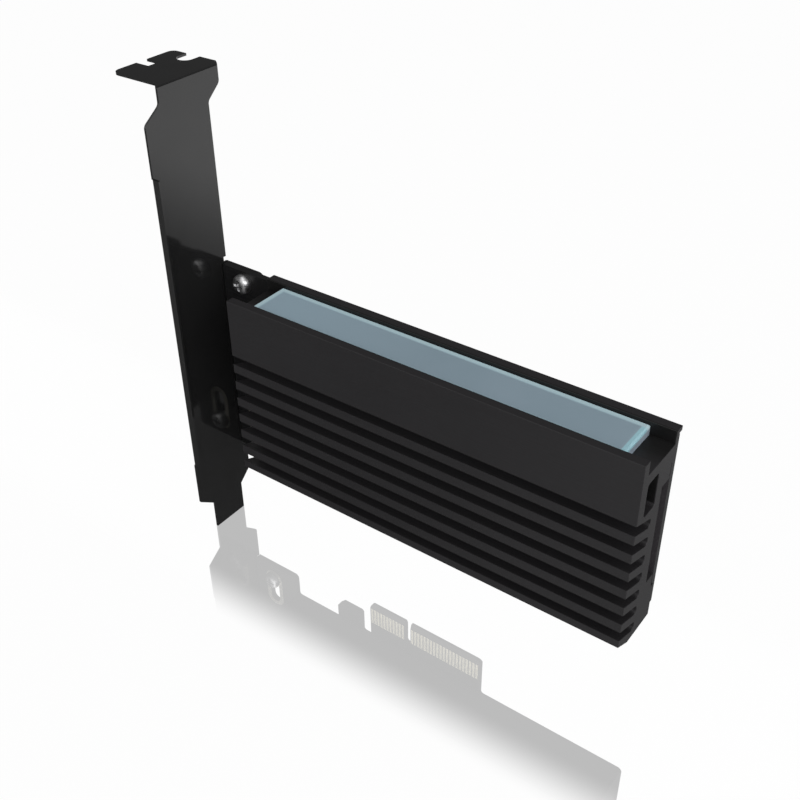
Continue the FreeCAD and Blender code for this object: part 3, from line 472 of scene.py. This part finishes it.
def add_piece(name, form, finish, nodes=(), smooth=30, scale=MM):
    """Turn a form into a piece that rides with the card, in place of some CAD nodes."""
    bmesh.ops.recalc_face_normals(form, faces=form.faces)
    bmesh.ops.scale(form, vec=(scale, scale, scale), verts=form.verts)
    mesh = bpy.data.meshes.new(name)
    form.to_mesh(mesh)
    form.free()
    mesh.shade_smooth()
    mesh.set_sharp_from_angle(angle=math.radians(smooth))
    mesh.materials.append(finish.material)
    piece = bpy.data.objects.new(name, mesh)
    bpy.context.scene.collection.objects.link(piece)
    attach(piece, "root")
    if nodes:
        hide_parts(*nodes)
    return piece


def node_box(name):
    """The corners of a CAD node and its middle, in mm."""
    low, high = LOW[name] / MM, HIGH[name] / MM
    return low, high, (low + high) / 2


def block(form, low, high, ease=0.05):
    """A box between two corners with eased edges."""
    centre = (Vector(low) + Vector(high)) / 2
    size = Vector(high) - Vector(low)
    made = bmesh.ops.create_cube(form, size=1)["verts"]
    bmesh.ops.scale(form, vec=size, verts=made)
    bmesh.ops.translate(form, vec=centre, verts=made)
    edges = {edge for vert in made for edge in vert.link_edges}
    bmesh.ops.bevel(form, geom=list(edges), offset=ease, segments=2, profile=0.5,
                    affect="EDGES")


def loft(form, loops, closed=True):
    """Skin a row of outlines that have the same number of points."""
    rings = [[form.verts.new(point) for point in loop] for loop in loops]
    for one, two in zip(rings, rings[1:]):
        for index in range(len(one)):
            form.faces.new((one[index - 1], one[index], two[index], two[index - 1]))
    if closed:
        form.faces.new(rings[0])
        form.faces.new(list(reversed(rings[-1])))


def ring(centre, radius, along, sides=48):
    """Points round an axis along Y."""
    return [Vector((centre.x + radius * math.cos(turn), along,
                    centre.z + radius * math.sin(turn)))
            for turn in (2 * math.pi * step / sides for step in range(sides))]


def cross_loop(centre, half_long, half_wide, along):
    """The twelve corners of a cross."""
    corners = []
    for one, two in ((1, 1), (-1, 1), (-1, -1), (1, -1)):
        arm = (one * half_long, two * half_wide)
        heart = (one * half_wide, two * half_wide)
        leg = (one * half_wide, two * half_long)
        corners += [arm, heart, leg] if one == two else [leg, heart, arm]
    return [Vector((centre.x + across, along, centre.z + up)) for across, up in corners]


def cut(body, tool):
    """Take one closed form out of another and give back the rest."""
    items = []
    for form in (body, tool):
        bmesh.ops.recalc_face_normals(form, faces=form.faces)
        mesh = bpy.data.meshes.new("cut")
        form.to_mesh(mesh)
        form.free()
        item = bpy.data.objects.new("cut", mesh)
        bpy.context.scene.collection.objects.link(item)
        items.append(item)
    modifier = items[0].modifiers.new("cut", "BOOLEAN")
    modifier.operation = "DIFFERENCE"
    modifier.solver = "EXACT"
    modifier.object = items[1]
    graph = bpy.context.evaluated_depsgraph_get()
    result = bpy.data.meshes.new_from_object(items[0].evaluated_get(graph))
    rest = bmesh.new()
    rest.from_mesh(result)
    bpy.data.meshes.remove(result)
    for item in items:
        mesh = item.data
        bpy.data.objects.remove(item)
        bpy.data.meshes.remove(mesh)
    return rest


def flat_ring(form, centre, section, sides=20, closed=True):
    """A turned shape on the back face, from (radius, rise) pairs."""
    loft(form, [ring(centre, radius, BOARD_BACK / MM + rise, sides) for radius, rise in section],
         closed)


def absorb(form, other):
    """Add one form to another."""
    mesh = bpy.data.meshes.new("absorb")
    other.to_mesh(mesh)
    other.free()
    form.from_mesh(mesh)
    bpy.data.meshes.remove(mesh)


# ---------------------------------------------------------------- screws

def screw_head(centre, seat, out, head, crown):
    """A domed pan head with a cross recess."""
    dome = ((0.0, 0.995), (0.35, 0.99), (0.6, 0.95), (0.8, 0.84), (0.93, 0.64), (0.99, 0.4),
            (1.0, 0.22), (1.0, 0.06), (0.975, 0.0))
    recess = ((0.62, 0.155, 1.1), (0.56, 0.135, 0.9), (0.2, 0.1, 0.3))
    tip = 0.02
    cap, cross = bmesh.new(), bmesh.new()
    loft(cap, [ring(centre, max(part * head, tip), seat + out * high * crown)
               for part, high in dome])
    loft(cross, [cross_loop(centre, long * head, wide * head, seat + out * high * crown)
                 for long, wide, high in recess])
    return cut(cap, cross)


def screw(form, centre, seat, out, head, crown, core, length, pitch):
    """A pan head screw along Y. Its head stands on the seat, on the side that out points to."""
    absorb(form, screw_head(centre, seat, out, head, crown))
    slices, sides = 12, 24
    groove = 0.27 * pitch
    steps = int(length / pitch * slices)
    loops = []
    for step in range(steps + 1):
        depth = length * step / steps
        taper = min(1.0, (length - depth) / pitch + 0.35)
        loop = []
        for side in range(sides):
            phase = (depth / pitch - side / sides) % 1.0
            radius = core - groove * abs(2 * phase - 1) * taper - 0.3 * pitch * (1 - taper)
            angle = 2 * math.pi * side / sides
            loop.append(Vector((centre.x + radius * math.cos(angle), seat - out * depth,
                                centre.z + radius * math.sin(angle))))
        loops.append(loop)
    loft(form, loops)


def make_screws(finish):
    """Bracket screws, clamp screws and the drive's screw, with cross recesses and threads."""
    low, high = node_box("bracket_screws")[:2]
    edge = (high.x - low.x) / 2
    form = bmesh.new()
    for up in (low.z + edge, high.z - edge):
        screw(form, Vector((low.x + edge, 0, up)), seat=low.y + 2.0, out=-1,
              head=2.45, crown=2.0, core=1.44, length=4.2, pitch=0.5)
    add_piece("bracket_screw_pair", form, finish, ["bracket_screws"])

    low, high = node_box("clamp_screws")[:2]
    edge = 2.4
    form = bmesh.new()
    for across in (low.x + edge, high.x - edge):
        for up in (low.z + edge, high.z - edge):
            screw(form, Vector((across, 0, up)), seat=high.y - 1.5, out=1,
                  head=edge, crown=1.5, core=1.19, length=5.0, pitch=0.45)
    add_piece("clamp_screw_set", form, finish, ["clamp_screws"])

    low, high = node_box("drive_screw")[:2]
    edge = (high.x - low.x) / 2
    form = bmesh.new()
    screw(form, Vector((low.x + edge, 0, low.z + edge)), seat=low.y + 0.9, out=-1,
          head=edge, crown=0.9, core=0.94, length=3.0, pitch=0.4)
    add_piece("drive_screw_fine", form, finish, ["drive_screw"])


# ---------------------------------------------------------------- parts on the solder side

def chips(name, finish, node, places, half, caps, long_axis="z"):
    """Chip parts on the back face: bodies in one piece, tinned ends given back as a form.

    Places run along X in the middle of the node. Half holds the half length, the half width
    and the height. Caps is the length of a tinned end.
    """
    base = BOARD_BACK / MM
    level = node_box(node)[2].z
    inset, lift = 0.02, 0.02
    half_long, half_wide, height = half
    along, across = (0, 2) if long_axis == "x" else (2, 0)
    body, ends = bmesh.new(), bmesh.new()
    for place in places:
        low = Vector((place, base + lift, level))
        high = Vector((place, base + height - inset, level))
        low[along] -= half_long - inset
        high[along] += half_long - inset
        low[across] -= half_wide - inset
        high[across] += half_wide - inset
        block(body, low, high, 0.06)
        for side in (-1, 1):
            one = Vector((0, base, 0))
            two = Vector((0, base + height, 0))
            outer = (low if side < 0 else high)[along] + side * inset
            inner = outer - side * caps
            one[along], two[along] = min(outer, inner), max(outer, inner)
            one[across] = low[across] - inset
            two[across] = high[across] + inset
            block(ends, one, two, 0.07)
            fillet(ends, along, across, outer, side, (low[across], high[across]), 0.55 * height)
    add_piece(name, body, finish, [node])
    return ends


def fillet(form, along, across, face, side, limits, rise):
    """A hollow fillet of solder from a part's end down to its land."""
    steps = 5
    reach, overlap, rim = 0.8 * rise, 0.02, 0.004
    section = [(-overlap, 0.0), (-overlap, rise)]
    for step in range(1, steps + 1):
        turn = math.pi / 2 * step / steps
        section.append((reach * (1 - math.cos(turn)), rise * (1 - math.sin(turn)) + rim))
    section.append((reach, 0.0))
    loops = []
    for place in limits:
        loop = []
        for outward, up in section:
            point = Vector((0, BOARD_BACK / MM + up, 0))
            point[along] = face + side * outward
            point[across] = place
            loop.append(point)
        loops.append(loop)
    loft(form, loops)


def make_chips(metal, ceramic, black):
    """Capacitors and resistors with tinned ends and solder fillets."""
    low, high = node_box("power_capacitors")[:2]
    half, pitch = (1.0, 0.625, 1.2), 2.4
    places = [low.x + half[1] + pitch * item for item in range(2)] + [high.x - half[1]]
    ends = chips("power_capacitor_bodies", ceramic, "power_capacitors",
                 places, half, 0.42)
    half = (0.5, CAP_HALF_WIDE, 0.5)
    places = [lane_place(item) for item in range(CAP_COUNT)]
    absorb(ends, chips("coupling_capacitor_bodies", ceramic,
                       "coupling_capacitors", places, half, 0.22))
    low = node_box("resistors")[0]
    half, pitch = (0.5, 0.25, 0.5), 3.0
    places = [low.x + half[0] + pitch * item for item in range(3)]
    absorb(ends, chips("resistor_bodies", black, "resistors", places, half, 0.2, "x"))
    add_piece("tinned_ends", ends, metal, smooth=40)


def lane_place(item):
    """Where a lane's coupling capacitor stands along the board."""
    return LOW["coupling_capacitors"].x / MM + CAP_HALF_WIDE + CAP_PITCH * item


def make_inductor(finish, metal):
    """A shielded inductor: cut corners, a round core top and tinned feet."""
    low, high, middle = node_box("inductor")
    foot_sheet, foot_half_wide, corner = 0.05, 0.85, 0.9
    half = (high.x - low.x) / 2 - foot_sheet
    form = bmesh.new()
    loops = []
    for up, shrink in ((low.y + 0.15, 0.0), (high.y - 0.3, 0.0), (high.y - 0.12, 0.12)):
        side = half - shrink
        loops.append([Vector((middle.x + one, up, middle.z + two)) for one, two in (
            (side, side - corner), (side - corner, side), (-side + corner, side),
            (-side, side - corner), (-side, -side + corner), (-side + corner, -side),
            (side - corner, -side), (side, -side + corner))])
    loft(form, loops)
    loft(form, [ring(middle, radius, up) for radius, up in (
        (1.62, high.y - 0.2), (1.62, high.y - 0.03), (1.55, high.y), (1.2, high.y),
        (1.1, high.y - 0.05), (0.05, high.y - 0.05))])
    add_piece("inductor_shield", form, finish, ["inductor"])
    form = bmesh.new()
    for side in (-1, 1):
        outer = middle.z + side * (half + foot_sheet)
        for inset, rise, ease in ((0.6, 0.16, 0.03), (0.02, 0.9, 0.02)):
            inner = middle.z + side * (half - inset)
            block(form, (middle.x - foot_half_wide, low.y, min(outer, inner)),
                  (middle.x + foot_half_wide, low.y + rise, max(outer, inner)), ease)
    add_piece("inductor_feet", form, metal)


def make_regulator(finish, metal):
    """A six lead regulator with drafted sides, a pin mark and gull wing leads."""
    low, high, middle = node_box("regulator")
    across, deep = (high.x - low.x) / 2, (high.z - low.z) / 2

    def outline(shrink, up):
        return [Vector((middle.x + one * (across - shrink), up, middle.z + two * (deep - shrink)))
                for one, two in ((1, 1), (-1, 1), (-1, -1), (1, -1))]

    body = bmesh.new()
    loft(body, [outline(0.09, low.y + 0.1), outline(0.0, middle.y), outline(0.1, high.y)])
    dot = bmesh.new()
    mark = Vector((low.x + 0.5, 0, low.z + 0.5))
    loft(dot, [ring(mark, 0.2, high.y + 0.1, 24), ring(mark, 0.16, high.y - 0.06, 24)])
    add_piece("regulator_body", cut(body, dot), finish, ["regulator"])
    leads_low, leads_high = node_box("regulator_leads")[:2]
    reach = (leads_high.z - leads_low.z) / 2
    lead_pitch, lead_half_wide = 0.95, 0.2
    path = [(deep - 0.1, 0.5), (deep + 0.18, 0.5), (deep + 0.28, 0.4), (deep + 0.3, 0.16),
            (deep + 0.34, 0.12), (reach, 0.12), (reach, 0.0), (deep + 0.28, 0.0),
            (deep + 0.18, 0.1), (deep + 0.16, 0.36), (deep + 0.12, 0.38), (deep - 0.1, 0.38)]
    form = bmesh.new()
    for step in (-1, 0, 1):
        for side in (-1, 1):
            place = middle.x + lead_pitch * step
            loft(form, [[Vector((edge, low.y + up, middle.z + side * out)) for out, up in path]
                        for edge in (place - lead_half_wide, place + lead_half_wide)])
    add_piece("gull_leads", form, metal, ["regulator_leads"])


def make_header(finish):
    """The light header's base: four cells with cut corners."""
    low, high = node_box("light_header")[:2]
    cells, corner, parting = 4, 0.42, 0.02
    cell = (high.x - low.x) / cells
    form = bmesh.new()
    for item in range(cells):
        left = low.x + cell * item
        right = left + cell - parting
        section = [(left + corner, low.y), (right - corner, low.y), (right, low.y + corner),
                   (right, high.y - corner), (right - corner, high.y), (left + corner, high.y),
                   (left, high.y - corner), (left, low.y + corner)]
        loft(form, [[Vector((across, up, level)) for across, up in section]
                    for level in (low.z, high.z)])
    block(form, (low.x + 0.2, low.y, low.z + 0.35), (high.x - 0.2, high.y - 0.45, high.z - 0.35))
    add_piece("header_base", form, finish, ["light_header"])


def run(form, points, width=TRACE_WIDE, rise=TRACE_RISE):
    """A flat line on the back face through points of (x, z)."""
    base, sunk = BOARD_BACK / MM, 0.005
    overlap = 0.4   # each stretch runs past its ends by this share of half its width
    for one, two in zip(points, points[1:]):
        start, end = Vector(one), Vector(two)
        ahead = (end - start).normalized() * width / 2
        aside = Vector((-ahead.y, ahead.x))
        start, end = start - ahead * overlap, end + ahead * overlap
        loft(form, [[Vector((spot.x, up, spot.y)) for spot in (
            start + aside, start - aside, end - aside, end + aside)]
            for up in (base - sunk, base + rise)])


def make_traces(mask):
    """Lanes from the contacts through the capacitors to the socket, power and light lines."""
    form = bmesh.new()
    below, above, contacts_top = 15.3, 17.0, 7.4   # heights at the capacitors and the contacts
    lane_rise, step, knee = 0.62, 1.2, above + 0.2
    for item in range(CAP_COUNT):
        start, level = lane_place(item), 19.0 + lane_rise * item
        run(form, [(start, above), (start, knee), (start - level + knee, level),
                   (LANE_END + step, level)])
        run(form, [(LANE_END + step, level), (LANE_END, level + step),
                   (LANE_END, LANE_FIRST + LANE_PITCH * item)])
        run(form, [(start, below), (start, contacts_top)])
    for item in range(3):
        run(form, [(-43.0, 34.0 + 0.8 * item), (-41.0, 36.0 + 0.8 * item),
                   (-36.2 + item, 40.8 + 0.2 * item)], width=0.4)
    pin_pitch, pins = 2.54, (0, 2, 3)
    for item, pin in enumerate(pins):
        place = node_box("light_header")[0].x + pin_pitch * (pin + 0.5)
        turn, drop = 46.4 - 0.7 * item, 4.0
        run(form, [(place, 48.0), (place, turn), (place - drop, turn - drop),
                   (-26.0, turn - drop)], width=0.3)
    add_piece("traces", form, mask, smooth=10)


def make_vias(metal):
    """Plated vias: raised rings with a dimple."""
    rows = (
        [(LANE_END, LANE_FIRST + LANE_PITCH * item) for item in range(CAP_COUNT)],
        [(-42.4 + 0.9 * item, 28.2) for item in range(4)],
        [(-42.4 + 0.9 * item, 29.1) for item in range(4)],
        [(-39.5, 20.0 + 1.5 * item) for item in range(4)],
        [(27.5 + 5.5 * item, 21.0) for item in range(5)],
        [(-20.0 + 7.5 * item, 56.9) for item in range(2, 9)],
    )
    form = bmesh.new()
    for row in rows:
        for across, up in row:
            flat_ring(form, Vector((across, 0, up)), (
                (0.34, SUNK), (0.33, 0.02), (0.19, 0.024), (0.16, 0.006), (0.02, 0.004)))
    add_piece("vias", form, metal, smooth=40)


def make_print(ink):
    """Printed outlines round the parts, a pin mark and two ring marks."""
    form = bmesh.new()
    beside = 0.4
    for name, gap in (("inductor", 0.45), ("regulator", 1.05), ("light_header", 0.35)):
        low, high = node_box(name)[:2]
        left, right = low.x - beside, high.x + beside
        bottom, top = low.z - gap, high.z + gap
        run(form, [(left, bottom), (right, bottom), (right, top), (left, top), (left, bottom)],
            0.14, INK_RISE)
    for item in range(CAP_COUNT):
        for side in (-0.55, 0.55):
            place = lane_place(item) + side
            run(form, [(place, 15.6), (place, 16.8)], 0.12, INK_RISE)
    chip = node_box("regulator")[0]
    flat_ring(form, Vector((chip.x - 0.85, 0, chip.z - 0.75)),
              ((0.18, SUNK), (0.17, INK_RISE), (0.02, INK_RISE)))
    for across, up in ((44.0, 26.0), (-30.5, 24.2)):
        flat_ring(form, Vector((across, 0, up)),
                  ((1.12, SUNK), (1.12, INK_RISE), (0.98, INK_RISE), (0.98, SUNK)), 32, False)
    add_piece("printed_outlines", form, ink, smooth=10)


# ---------------------------------------------------------------- eased copies

def ease_edges(name, node, finish, width):
    """A copy of a CAD node whose sharp outer edges are eased, for their thin highlights."""
    form = bmesh.new()
    form.from_mesh(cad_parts[node].data)
    bmesh.ops.remove_doubles(form, verts=form.verts, dist=0.0005 * MM)
    flat, sharp = math.radians(0.4), math.radians(35)
    bmesh.ops.dissolve_limit(form, angle_limit=flat, verts=form.verts, edges=form.edges)
    edges = [edge for edge in form.edges
             if len(edge.link_faces) == 2 and edge.calc_face_angle_signed() > sharp]
    bmesh.ops.bevel(form, geom=edges, offset=width, segments=2, profile=0.5, affect="EDGES",
                    clamp_overlap=False)
    piece = add_piece(name, form, finish, [node], smooth=35, scale=1.0)
    even = piece.modifiers.new("even", "WEIGHTED_NORMAL")
    even.mode = "FACE_AREA"
    even.weight = 100
    even.keep_sharp = True


# ---------------------------------------------------------------- the part

def make_part():
    """Every CAD node gets its finish, and the fine pieces are built."""
    sink, mask, metal, nickel, plated = anodised(), solder_mask(), tin(), steel(), gold()
    # partly gold plating and partly painted reflection: the front contacts are paler and less
    # metallic than the back contacts' gold, to stand for the bright floor they reflect
    pale_contact_gold = gold("pale_gold_painted_reflection", 0.2, (0.9, 0.82, 0.6), (0.95, 0.9, 0.7))
    white = moulded("strip_white", (0.6, 0.6, 0.58), (0.7, 0.7, 0.68))
    plastic = moulded("black_plastic", (0.012, 0.012, 0.012), (0.02, 0.02, 0.02))
    package = moulded("package_black", (0.018, 0.018, 0.019), (0.03, 0.03, 0.031), 0.42)
    ferrite = moulded("ferrite", (0.045, 0.044, 0.043), (0.075, 0.073, 0.07), 0.6)
    ceramic = moulded("fired_ceramic", (0.3, 0.2, 0.11), (0.4, 0.28, 0.17), 0.4)
    ink = moulded("white_ink", (0.55, 0.55, 0.53), (0.66, 0.66, 0.64), 0.6)
    dress(sink, "heatsink")
    dress(gloss_black(), "bracket")
    dress(mask, "board")
    dress(pale_contact_gold, "contacts_front")
    dress(plated, "contacts_back", "header_pins", "socket_tails")
    dress(lands(), "mount_lands")
    dress(metal, "drive_lands", "regulator_leads")
    dress(nickel, "bracket_screws", "clamp_screws", "drive_screw", "drive_standoff")
    dress(light_plate(), "light_bar")
    dress(white, "led_strip", "leds")
    dress(plastic, "drive_socket", "light_header")
    dress(package, "regulator", "inductor", "resistors")
    dress(ceramic, "coupling_capacitors", "power_capacitors")
    make_screws(nickel)
    make_chips(metal, ceramic, package)
    make_inductor(ferrite, metal)
    make_regulator(package, metal)
    make_header(plastic)
    make_traces(mask)
    make_vias(plated)
    make_print(ink)
    ease_edges("heatsink_eased", "heatsink", sink, 0.1 * MM)


make_part()
make_studio()
